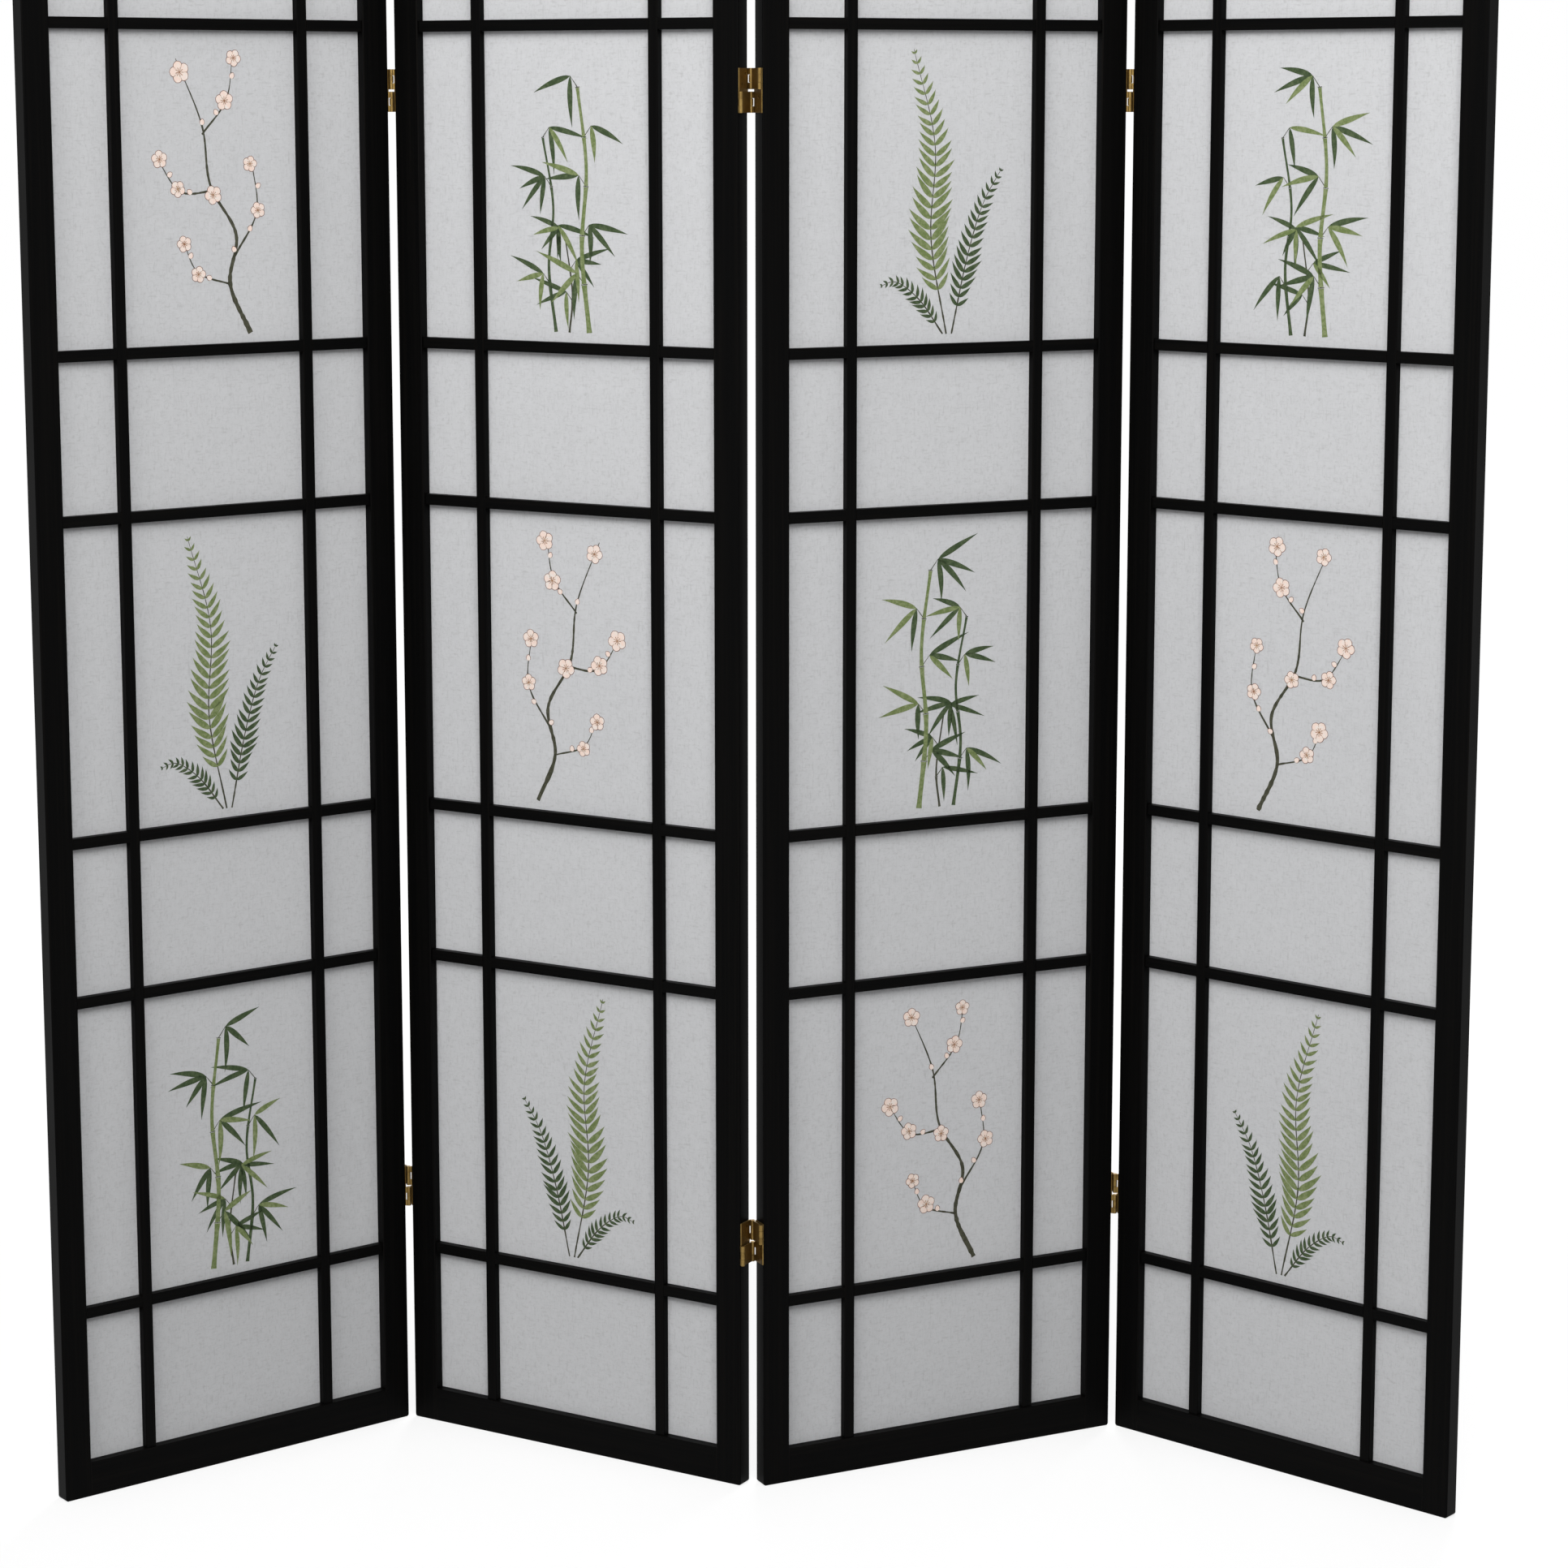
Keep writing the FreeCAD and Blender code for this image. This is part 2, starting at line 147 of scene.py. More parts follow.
def add_object(name, data):
    """A new object in the scene, at the origin."""
    made = bpy.data.objects.new(name, data)
    bpy.context.scene.collection.objects.link(made)
    return made


camera_data = bpy.data.cameras.new("camera")
camera_data.lens = camera_data.sensor_width * LENS_PIXELS / PICTURE_SIDE
camera_data.shift_y = (AXIS_PIXEL_Y - PICTURE_SIDE / 2) / PICTURE_SIDE
camera = add_object("camera", camera_data)
camera.location = CAMERA_PLACE
camera.rotation_euler = (math.pi / 2 - CAMERA_TILT_DOWN, 0, CAMERA_TURN)
bpy.context.scene.camera = camera
bpy.context.scene.view_settings.view_transform = "Standard"
print("lens", round(camera_data.lens, 1), "mm")

# %% [markdown]
# ## Node helpers
# A material or a geometry tree is a list of nodes and the wires between them. Written out in full,
# even a simple finish fills a page. A few helpers keep the recipes below short enough to read: they
# add a node with its sockets set, join two sockets, and make the steps that most finishes need.

# %% Add and join nodes
def set_sockets(node, **sockets):
    """Sets a node's sockets by name, with _ for a space."""
    for name, value in sockets.items():
        node.inputs[name.replace("_", " ")].default_value = value


def add_node(tree, kind, settings=None, **sockets):
    """Adds a node, sets its own settings and then its sockets."""
    node = tree.nodes.new(kind)
    for name, value in (settings or {}).items():
        setattr(node, name, value)
    set_sockets(node, **sockets)
    return node


def wire(tree, from_socket, to_socket):
    tree.links.new(from_socket, to_socket)


def new_material(name):
    """A new material, its node tree and its main shader."""
    material = bpy.data.materials.new(name)
    material.use_nodes = True
    return material, material.node_tree, material.node_tree.nodes["Principled BSDF"]


print("materials so far:", len(bpy.data.materials))

# %% Steps that most finishes need
def noise(tree, place, **sockets):
    """The value of a noise texture at a place."""
    texture = add_node(tree, "ShaderNodeTexNoise", **sockets)
    wire(tree, place, texture.inputs["Vector"])
    return texture.outputs["Fac"]


def ranged(tree, value, given=(0, 1), wanted=(0, 1)):
    """A value taken from a given range to a wanted one, and kept inside it."""
    node = add_node(tree, "ShaderNodeMapRange", From_Min=given[0], From_Max=given[1],
                    To_Min=wanted[0], To_Max=wanted[1])
    wire(tree, value, node.inputs["Value"])
    return node.outputs["Result"]


def combined(tree, operation, first, second):
    """Two values put together by a Math node."""
    node = add_node(tree, "ShaderNodeMath", {"operation": operation})
    wire(tree, first, node.inputs[0])
    wire(tree, second, node.inputs[1])
    return node.outputs[0]


def mixed(tree, factor, first, second):
    """A colour mix. Each colour is a value or a socket, and so is the factor."""
    mix = add_node(tree, "ShaderNodeMix", {"data_type": "RGBA"})
    colours = [socket for socket in mix.inputs if socket.type == "RGBA"]
    for socket, given in zip((mix.inputs["Factor"], *colours), (factor, first, second)):
        if isinstance(given, bpy.types.NodeSocket):
            wire(tree, given, socket)
        else:
            socket.default_value = given
    return next(socket for socket in mix.outputs if socket.type == "RGBA")


def bump(tree, height, strength, depth):
    """A bump that follows a height. Gives the node, which can take an earlier normal."""
    node = add_node(tree, "ShaderNodeBump", Strength=strength, Distance=depth)
    wire(tree, height, node.inputs["Height"])
    return node


print("finish helpers ready")

# %% [markdown]
# ## Floor and light
# The screen stands on a pale studio floor that melts into a white background. A white world with a
# white floor would give that, but it would flood the paper with light from all sides. So both are
# white only for rays from the camera and off glossy surfaces, and shed less light on the screen.

# %% Make the world
WHITE = (1, 1, 1, 1)
WORLD_LIGHT = 0.30


def seen_directly(tree):
    """One for rays from the camera, off gloss and through glass, and zero for light."""
    path = add_node(tree, "ShaderNodeLightPath")
    seen = path.outputs["Is Camera Ray"]
    for ray in ("Is Glossy Ray", "Is Transmission Ray"):
        seen = combined(tree, "MAXIMUM", seen, path.outputs[ray])
    return seen


def make_world():
    world = bpy.data.worlds.new("studio")
    world.use_nodes = True
    tree = world.node_tree
    background = tree.nodes["Background"]
    set_sockets(background, Color=WHITE)
    strength = ranged(tree, seen_directly(tree), wanted=(WORLD_LIGHT, 1))
    wire(tree, strength, background.inputs["Strength"])
    return world


bpy.context.scene.world = make_world()
print("light from the world:", WORLD_LIGHT)

# %% Lay the floor
FLOOR_REACH = 60.0
FLOOR_COLOUR = (0.33, 0.33, 0.33, 1)
FLOOR_ROUGHNESS = 0.9
GLOW_REACH = (1.2, 5.0)
GLOW = (0.70, 0.90)


def floor_finish():
    """Matt grey for the lamps, with a glow that only the camera and gloss see."""
    material, tree, shader = new_material("floor")
    set_sockets(shader, Base_Color=FLOOR_COLOUR, Roughness=FLOOR_ROUGHNESS,
                Specular_IOR_Level=0, Emission_Color=WHITE)
    place = add_node(tree, "ShaderNodeTexCoord")
    away = add_node(tree, "ShaderNodeVectorMath", {"operation": "LENGTH"})
    wire(tree, place.outputs["Object"], away.inputs[0])
    lift = ranged(tree, away.outputs["Value"], GLOW_REACH, GLOW)
    glow = combined(tree, "MULTIPLY", seen_directly(tree), lift)
    wire(tree, glow, shader.inputs["Emission Strength"])
    return material


floor_mesh = bpy.data.meshes.new("floor")
floor_corners = [(x * FLOOR_REACH, y * FLOOR_REACH, 0)
                 for x, y in ((-1, -1), (1, -1), (1, 1), (-1, 1))]
floor_mesh.from_pydata(floor_corners, [], [(0, 1, 2, 3)])
floor_mesh.materials.append(floor_finish())
floor = add_object("floor", floor_mesh)
print("floor laid,", 2 * FLOOR_REACH, "m wide")

# %% [markdown]
# Paper looks best in soft light, and small lamps would cut hard shadows across it. So three large
# ones do the rest. The first, far to the left, lights the panels that face it a little more than
# the others. The second hangs in front, above head height. It gives the paper its gentle fall from
# top to bottom and puts a narrow shadow under each strip. The third keeps the back from going dull.

# %% Hang the lamps
SCREEN_MIDDLE = Vector((0, 0, 0.9))
LAMPS = {
    "key": {"place": (-3.2, -4.2, 4.6), "side": 3.0, "watts": 146},
    "top": {"place": (0.3, -2.5, 2.95), "side": 2.0, "watts": 81},
    "back": {"place": (0.8, 3.0, 3.0), "side": 2.0, "watts": 105},
}


def soft_lamp(name, place, side, watts):
    data = bpy.data.lights.new(name, "AREA")
    data.shape = "SQUARE"
    data.size = side
    data.energy = watts
    lamp = add_object(name, data)
    lamp.location = place
    lamp.visible_camera = False
    lamp.rotation_euler = (SCREEN_MIDDLE - Vector(place)).to_track_quat("-Z", "Y").to_euler()


for name, settings in LAMPS.items():
    soft_lamp(name, **settings)
print("lamps:", ", ".join(LAMPS))

# %% [markdown]
# ## Black lacquer
# The frames are softwood under satin black lacquer. Up close the grain still shows as fine streaks
# along each piece, and the arrises are a little rubbed. Plain black would look like plastic, and a
# wood texture would be far too loud. A noise stretched along the grain gives streaks that lightly
# shift the colour and the surface, and a cloudy one makes the gloss uneven. The Bevel node softens
# the arrises in the shading and finds where to rub them, so no edge has to be modelled again.

# %% Mix the lacquer
LACQUER_DARK = (0.0010, 0.0010, 0.0010, 1)
LACQUER_STREAK = (0.0030, 0.0026, 0.0022, 1)
LACQUER_RUBBED = (0.012, 0.0095, 0.008, 1)
STREAK_RANGE = (0.45, 0.75)
CLOUD_SCALE = 9.0
ARRIS = 0.7 * MM
RUBBED_COSINES = (0.995, 0.80)
SATIN_ROUGHNESS = (0.36, 0.52)
SATIN_SPECULAR = 0.035
GRAIN_STRENGTH = 0.12
GRAIN_DEPTH = 0.2 * MM


def lacquer(name, turn, grain_scale):
    """Satin black lacquer whose grain is stretched by grain_scale in a frame turned about z."""
    material, tree, shader = new_material(name)
    place = add_node(tree, "ShaderNodeTexCoord").outputs["Object"]
    turned = add_node(tree, "ShaderNodeMapping", Rotation=(0, 0, -turn))
    stretched = add_node(tree, "ShaderNodeMapping", Scale=grain_scale)
    wire(tree, place, turned.inputs["Vector"])
    wire(tree, turned.outputs["Vector"], stretched.inputs["Vector"])
    grain = noise(tree, stretched.outputs["Vector"], Scale=1.0, Detail=5.0, Roughness=0.6)
    cloud = noise(tree, place, Scale=CLOUD_SCALE, Detail=3.0)
    streaks = mixed(tree, ranged(tree, grain, STREAK_RANGE), LACQUER_DARK, LACQUER_STREAK)

    soft_edge = add_node(tree, "ShaderNodeBevel", {"samples": 6}, Radius=ARRIS).outputs["Normal"]
    flat_face = add_node(tree, "ShaderNodeNewGeometry").outputs["Normal"]
    alike = add_node(tree, "ShaderNodeVectorMath", {"operation": "DOT_PRODUCT"})
    wire(tree, soft_edge, alike.inputs[0])
    wire(tree, flat_face, alike.inputs[1])
    worn = ranged(tree, alike.outputs["Value"], RUBBED_COSINES)
    rubbed = mixed(tree, combined(tree, "MULTIPLY", worn, cloud), streaks, LACQUER_RUBBED)

    relief = bump(tree, grain, GRAIN_STRENGTH, GRAIN_DEPTH)
    wire(tree, soft_edge, relief.inputs["Normal"])
    wire(tree, rubbed, shader.inputs["Base Color"])
    wire(tree, ranged(tree, cloud, wanted=SATIN_ROUGHNESS), shader.inputs["Roughness"])
    wire(tree, relief.outputs["Normal"], shader.inputs["Normal"])
    set_sockets(shader, Specular_IOR_Level=SATIN_SPECULAR)
    return material


print("edges rubbed over", ARRIS / MM, "mm")

# %% [markdown]
# Grain runs along a piece, so uprights and level pieces need their own direction, and the level
# ones turn with their panel. One lacquer for the uprights and one for each panel's level pieces
# does it. The wood keeps its meshes from the frame and only gets a better finish.

# %% Coat the wood
GRAIN_ALONG = 3.0
GRAIN_ACROSS = 420.0


def coat(node, material):
    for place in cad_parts[node].material_slots:
        place.material = material


upright_grain = lacquer("lacquer_upright", 0, (GRAIN_ACROSS, GRAIN_ACROSS, GRAIN_ALONG))
for panel in panels:
    level_grain = lacquer(f"lacquer_level_{panel.name}", panel.turn,
                          (GRAIN_ALONG, GRAIN_ACROSS, GRAIN_ACROSS))
    for part in ("left_stile", "right_stile", "lattice_uprights"):
        coat(f"{panel.name}_{part}", upright_grain)
    for part in ("bottom_rail", "top_rail", "lattice_crossbars"):
        coat(f"{panel.name}_{part}", level_grain)
print("lacquers:", 1 + len(panels))

# %% [markdown]
# ## Brass
# The hinges are thin plated brass, a little tarnished. Tarnish is darker, browner and duller than
# clean metal. With a noise for each, dull patches could come out bright, so one cloudy noise drives
# colour and roughness together. A second, very fine noise stands for the brushed surface.

# %% Make the brass and coat the hinges
BRASS_CLEAN = (0.26, 0.172, 0.057, 1)
BRASS_TARNISHED = (0.165, 0.105, 0.034, 1)
TARNISH_SCALE = 90.0
TARNISH_TONES = (0.36, 0.62)
TARNISH_DULLING = (0.3, 0.7)
BRASS_ROUGHNESS = (0.55, 0.34)
BRUSHED_SCALE = 2600.0
BRUSHED_STRENGTH = 0.15
BRUSHED_DEPTH = 0.05 * MM


def brass():
    material, tree, shader = new_material("brass")
    place = add_node(tree, "ShaderNodeTexCoord").outputs["Object"]
    cloud = noise(tree, place, Scale=TARNISH_SCALE, Detail=4.0)
    brushed = noise(tree, place, Scale=BRUSHED_SCALE, Detail=2.0)
    tone = mixed(tree, ranged(tree, cloud, TARNISH_TONES), BRASS_TARNISHED, BRASS_CLEAN)
    dull = ranged(tree, cloud, TARNISH_DULLING, BRASS_ROUGHNESS)
    relief = bump(tree, brushed, BRUSHED_STRENGTH, BRUSHED_DEPTH)
    wire(tree, tone, shader.inputs["Base Color"])
    wire(tree, dull, shader.inputs["Roughness"])
    wire(tree, relief.outputs["Normal"], shader.inputs["Normal"])
    set_sockets(shader, Metallic=1)
    return material


brass_finish = brass()
hinge_nodes = [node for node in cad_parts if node.startswith("hinge")]
for node in hinge_nodes:
    coat(node, brass_finish)
print("brass parts:", len(hinge_nodes))

# %% [markdown]
# ## Paper
# One sheet of fibre paper covers the back of each lattice. It is glued along every strip, so it can
# only stir inside a cell, where damp and drying leave it a touch full or hollow. A cloth simulation
# would find almost nothing to move in a sheet that is held all over. A formula is enough: a belly
# and a faint ripple for each cell, both held at zero on the strips.

# %% Let the paper stir in its cells
PAPER_SEED = 7
CELL_BELLY = 0.9 * MM
CELL_RIPPLE = 0.12 * MM


class PaperRelief:
    """How far each point of a sheet lies behind the flat, cell by cell."""

    def __init__(self, panel, seed):
        rng = np.random.default_rng(seed)
        shape = (len(panel.rows), len(panel.columns))
        self.panel = panel
        self.belly = rng.uniform(-CELL_BELLY, CELL_BELLY, shape)
        self.phase = rng.uniform(0, 2 * math.pi, shape)

    def at(self, x, z):
        depth = np.zeros_like(x)
        for r, (low, high) in enumerate(self.panel.rows):
            up = np.clip((z - low) / (high - low), 0, 1)
            for c, (left, right) in enumerate(self.panel.columns):
                across = np.clip((x - left) / (right - left), 0, 1)
                hold = np.sin(math.pi * up) * np.sin(math.pi * across)
                ripple = np.sin(2 * math.pi * (up + across) + self.phase[r, c])
                depth += hold * (self.belly[r, c] + CELL_RIPPLE * ripple)
        return depth


reliefs = [PaperRelief(panel, PAPER_SEED + i) for i, panel in enumerate(panels)]
deepest = max(np.abs(relief.belly).max() for relief in reliefs)
print("fullest cell:", round(deepest / MM, 2), "mm")

# %% [markdown]
# The sheet itself is a grid. An even grid would miss the cell edges and round them off, so lines
# are laid on every edge first and the rest are spread between them. A UV map in metres goes with
# it, so that the fibres keep their real size whichever way the panel faces. Solidify gives the
# sheet its thickness, backwards from the face that touches the strips.

# %% Make the sheets
PAPER_STEP = 9 * MM


def grid_lines(low, high, stretches):
    """Grid lines with one on every cell edge and a steady step between them."""
    edges = [low, *[edge for stretch in stretches for edge in stretch], high]
    lines = []
    for start, end in zip(edges[:-1], edges[1:]):
        steps = max(1, round((end - start) / PAPER_STEP))
        lines.extend(np.linspace(start, end, steps + 1)[:-1])
    return np.array(lines + [high])


def stand_up(name, mesh, panel):
    """A mesh drawn in a panel's own frame, turned into the room with its object at the origin."""
    mesh.transform(panel.into_room)
    return add_object(name, mesh)


def thicken(piece, thickness):
    solid = piece.modifiers.new("thickness", "SOLIDIFY")
    solid.thickness = thickness
    solid.offset = -1


def make_paper(panel, relief):
    xs = grid_lines(panel.paper_low[0], panel.paper_high[0], panel.columns)
    zs = grid_lines(panel.paper_low[2], panel.paper_high[2], panel.rows)
    x, z = (axis.ravel() for axis in np.meshgrid(xs, zs))
    points = np.stack([x, relief.at(x, z), z], axis=1)
    wide = len(xs)
    starts = [row * wide + i for row in range(len(zs) - 1) for i in range(wide - 1)]
    faces = [(start, start + 1, start + wide + 1, start + wide) for start in starts]
    name = f"{panel.name}_paper_sheet"
    mesh = bpy.data.meshes.new(name)
    mesh.from_pydata(points.tolist(), [], faces)
    corners = [loop.vertex_index for loop in mesh.loops]
    metres = np.stack([x[corners], z[corners]], axis=1)
    mesh.uv_layers.new(name="metres").data.foreach_set("uv", metres.ravel())
    mesh.shade_smooth()
    paper = stand_up(name, mesh, panel)
    thicken(paper, panel.paper_high[1] - panel.paper_low[1])
    return paper


papers = [make_paper(panel, relief) for panel, relief in zip(panels, reliefs)]
print("paper points per sheet:", len(papers[0].data.vertices))

# %% [markdown]
# The paper's look is mostly soft variation: pulp clouds, a fine grain, and plant fibres pressed
# into it. Fibres could be thousands of curves, but at this size stretched noise does as well, in
# three directions, with only its peaks showing. Paper also lets some light through, so from behind
# the lattice shows as a soft shadow. Subsurface scattering with a radius about twice the sheet's
# thickness does that.

# %% Mix the paper's finish
PAPER_PALE = (0.622, 0.625, 0.634, 1)
PAPER_SHADE = (0.508, 0.511, 0.519, 1)
PAPER_FIBRE = (0.430, 0.430, 0.434, 1)
PULP_CLOUD_SCALE = 90.0
PULP_GRAIN_SCALE = 1400.0
PULP_STRENGTH = 0.2
PULP_DEPTH = 0.08 * MM
FIBRE_SCALES = ((620, 90, 1), (110, 520, 1), (330, 300, 1))
FIBRE_PEAKS = (0.56, 0.78)
FIBRE_SHOW = (0, 0.6)
PAPER_ROUGHNESS = 0.88
PAPER_SPECULAR = 0.25
LIGHT_THROUGH = 0.7
LIGHT_REACH = 0.8 * MM


def paper_finish():
    material, tree, shader = new_material("fibre_paper")
    place = add_node(tree, "ShaderNodeUVMap", {"uv_map": "metres"}).outputs["UV"]
    cloud = noise(tree, place, Scale=PULP_CLOUD_SCALE, Detail=7.0, Roughness=0.78)
    colour = mixed(tree, cloud, PAPER_SHADE, PAPER_PALE)
    for scale in FIBRE_SCALES:
        stretched = add_node(tree, "ShaderNodeMapping", Scale=scale)
        wire(tree, place, stretched.inputs["Vector"])
        strands = noise(tree, stretched.outputs["Vector"], Scale=1.0, Detail=2.0, Distortion=0.6)
        peaks = ranged(tree, strands, FIBRE_PEAKS, FIBRE_SHOW)
        colour = mixed(tree, peaks, colour, PAPER_FIBRE)
    pulp = noise(tree, place, Scale=PULP_GRAIN_SCALE, Detail=3.0)
    relief = bump(tree, pulp, PULP_STRENGTH, PULP_DEPTH)
    wire(tree, colour, shader.inputs["Base Color"])
    wire(tree, relief.outputs["Normal"], shader.inputs["Normal"])
    set_sockets(shader, Roughness=PAPER_ROUGHNESS, Specular_IOR_Level=PAPER_SPECULAR,
                Subsurface_Weight=LIGHT_THROUGH, Subsurface_Radius=(1, 1, 1),
                Subsurface_Scale=LIGHT_REACH)
    return material


fibre_paper = paper_finish()
print("directions of fibre:", len(FIBRE_SCALES))

# %% Hang the paper
for panel, paper in zip(panels, papers):
    paper.data.materials.append(fibre_paper)
    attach(paper, panel.name)
    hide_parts(f"{panel.name}_paper")

# %% [markdown]
# ## A brush made of nodes
# Every mark of the prints is a brush stroke: a path, and how hard the brush was pressed along it. A
# stem is a long stroke with light pressure, a leaf a short one pressed in its middle, a petal a
# very short and wide one. Filled outlines could draw them too, but each shape would need its own
# list of points. A single Geometry Nodes tree draws all strokes: it takes lines whose points carry
# a half_width, and sweeps a flat nib along them.

# %% Helpers for geometry trees
def new_tree(name, inputs):
    """A geometry tree with named inputs. Gives the tree, its input node and its output socket."""
    tree = bpy.data.node_groups.new(name, "GeometryNodeTree")
    for socket, kind in (("Geometry", "NodeSocketGeometry"), *inputs):
        tree.interface.new_socket(socket, in_out="INPUT", socket_type=kind)
    tree.interface.new_socket("Geometry", in_out="OUTPUT", socket_type="NodeSocketGeometry")
    start = tree.nodes.new("NodeGroupInput")
    end = tree.nodes.new("NodeGroupOutput")
    return tree, start, end.inputs["Geometry"]


def finish_tree(tree, start, geometry, end):
    """Ends a tree in real geometry with its material set."""
    real = add_node(tree, "GeometryNodeRealizeInstances")
    painted = add_node(tree, "GeometryNodeSetMaterial")
    wire(tree, geometry, real.inputs["Geometry"])
    wire(tree, real.outputs["Geometry"], painted.inputs["Geometry"])
    wire(tree, start.outputs["Material"], painted.inputs["Material"])
    wire(tree, painted.outputs["Geometry"], end)


def grow(base, tree, **inputs):
    """Runs a tree over a base mesh and gives the result as a plain mesh."""
    holder = add_object("holder", base)
    modifier = holder.modifiers.new("tree", "NODES")
    modifier.node_group = tree
    for item in tree.interface.items_tree:
        if item.in_out == "INPUT" and item.name in inputs:
            modifier[item.identifier] = inputs[item.name]
    ready = holder.evaluated_get(bpy.context.evaluated_depsgraph_get())
    mesh = bpy.data.meshes.new_from_object(ready)
    bpy.data.objects.remove(holder)
    return mesh


print("geometry trees so far:", len(bpy.data.node_groups))

# %% Build the brush
def brush_tree():
    tree, start, end = new_tree("brush", [("Material", "NodeSocketMaterial")])
    path = add_node(tree, "GeometryNodeMeshToCurve")
    flat = add_node(tree, "GeometryNodeSetCurveNormal", {"mode": "Z_UP"})
    nib = add_node(tree, "GeometryNodeCurvePrimitiveLine", Start=(-1, 0, 0), End=(1, 0, 0))
    pressure = add_node(tree, "GeometryNodeInputNamedAttribute", {"data_type": "FLOAT"},
                        Name="half_width")
    mark = add_node(tree, "GeometryNodeCurveToMesh")
    wire(tree, start.outputs["Geometry"], path.inputs["Mesh"])
    wire(tree, path.outputs["Curve"], flat.inputs["Curve"])
    wire(tree, flat.outputs["Curve"], mark.inputs["Curve"])
    wire(tree, nib.outputs["Curve"], mark.inputs["Profile Curve"])
    wire(tree, pressure.outputs["Attribute"], mark.inputs["Scale"])
    finish_tree(tree, start, mark.outputs["Mesh"], end)
    return tree


brush = brush_tree()
print("brush inputs:", [item.name for item in brush.interface.items_tree])

# %% [markdown]
# ## Inks
# A block print leaves uneven ink: thick where the block pressed, thin and mottled elsewhere. One
# flat colour for each ink would look like a sticker. Each ink has a full and a thin tone with a
# patchy noise between them. They are listed in the order of printing, so that petals cover
# branches.

# %% Mix the inks
INKS = {
    "bark": ((0.042, 0.043, 0.026, 1), (0.085, 0.083, 0.056, 1)),
    "leaf": ((0.036, 0.060, 0.024, 1), (0.088, 0.118, 0.058, 1)),
    "moss": ((0.135, 0.180, 0.062, 1), (0.245, 0.285, 0.140, 1)),
    "outline": ((0.150, 0.058, 0.042, 1), (0.260, 0.130, 0.100, 1)),
    "petal": ((0.860, 0.680, 0.590, 1), (0.820, 0.760, 0.715, 1)),
    "heart": ((0.260, 0.100, 0.030, 1), (0.420, 0.220, 0.070, 1)),
}
MOTTLE_SCALE = 210.0
MOTTLE_RANGE = (0.42, 0.66)
INK_ROUGHNESS = 0.75
INK_SPECULAR = 0.2


def ink(name, full, thin):
    material, tree, shader = new_material(f"ink_{name}")
    place = add_node(tree, "ShaderNodeTexCoord").outputs["Object"]
    mottle = noise(tree, place, Scale=MOTTLE_SCALE, Detail=5.0, Roughness=0.7)
    tone = mixed(tree, ranged(tree, mottle, MOTTLE_RANGE), full, thin)
    wire(tree, tone, shader.inputs["Base Color"])
    set_sockets(shader, Roughness=INK_ROUGHNESS, Specular_IOR_Level=INK_SPECULAR)
    return material


ink_finishes = {name: ink(name, *tones) for name, tones in INKS.items()}
print("inks:", ", ".join(ink_finishes))

# %% [markdown]
# ## Strokes
# A plant could be traced point by point, but a stem is only a smooth curve through a few chosen
# points, and a leaf is a heading that turns evenly while the brush is pressed and lifted. Drawn
# with these two rules, a plant takes a handful of numbers.

# %% Bend a path
STROKE_STEP = 4 * MM
FEWEST_POINTS = 3


def smooth_curve(points):
    """A Catmull-Rom curve through points, sampled evenly enough for a brush."""
    points = np.array(points, dtype=float)
    ends = np.vstack([2 * points[0] - points[1], points, 2 * points[-1] - points[-2]])
    samples = []
    for a, b, c, d in zip(ends[:-3], ends[1:-2], ends[2:-1], ends[3:]):
        count = max(FEWEST_POINTS, math.ceil(np.linalg.norm(c - b) / STROKE_STEP))
        t = np.linspace(0, 1, count, endpoint=False)[:, None]
        samples.append(0.5 * (2 * b + (c - a) * t + (2 * a - 5 * b + 4 * c - d) * t ** 2
                              + (3 * b - a - 3 * c + d) * t ** 3))
    return np.vstack([*samples, points[-1:]])


def straight(start, end):
    return np.linspace(start, end, FEWEST_POINTS)


def polar(heading, reach):
    return reach * np.array([math.cos(heading), math.sin(heading)])


def heading_of(step):
    return math.atan2(step[1], step[0])


print("points on a 100 mm stem:", len(smooth_curve(((0, 0), (0, 100 * MM)))))

# %% Collect strokes
FINEST = 0.16 * MM
HAND_WOBBLE = 0.22
LEAF_STATIONS = np.linspace(0, 1, 13)
LEAF_FULLEST = 0.42


class Sketch:
    """The strokes of one panel's prints, sorted by ink."""

    def __init__(self, hand):
        self.strokes = {name: [] for name in INKS}
        self.hand = hand

    def stroke(self, ink_name, path, widths):
        self.strokes[ink_name].append((path, widths / 2))

    def line(self, ink_name, path, thick, thin):
        """A stem that tapers from thick to thin, with the unsteady edge of a hand-cut block."""
        unsteady = 1 + self.hand.uniform(-HAND_WOBBLE, HAND_WOBBLE, len(path))
        self.stroke(ink_name, path, np.linspace(thick, thin, len(path)) * unsteady)

    def leaf(self, ink_name, base, heading, length, width, bend=0.0, fullest=LEAF_FULLEST,
             point=1.0):
        """A leaf or petal from its base outward, pressed hardest at the fullest share of its
        length. A point below one rounds its end."""
        t = LEAF_STATIONS
        turns = heading + bend * t
        steps = np.stack([np.cos(turns), np.sin(turns)], axis=1) * length / (len(t) - 1)
        path = np.array(base) + np.cumsum(steps, axis=0) - steps[0]
        halfway = t ** (math.log(0.5) / math.log(fullest))
        swell = np.sin(math.pi * np.minimum(halfway, 1)) ** point
        self.stroke(ink_name, path, np.maximum(width * swell, FINEST))


print("points on a leaf:", len(LEAF_STATIONS))

# %% [markdown]
# All strokes of one ink on one panel become one mesh, so a panel has six films and not hundreds of
# pieces. The brush draws them flat. Then each point is laid on the paper's own relief, because a
# flat film would sink into the paper in some cells and float over it in others. Each ink lies a few
# hundredths of a millimetre above the last, which keeps crossing strokes from flickering.

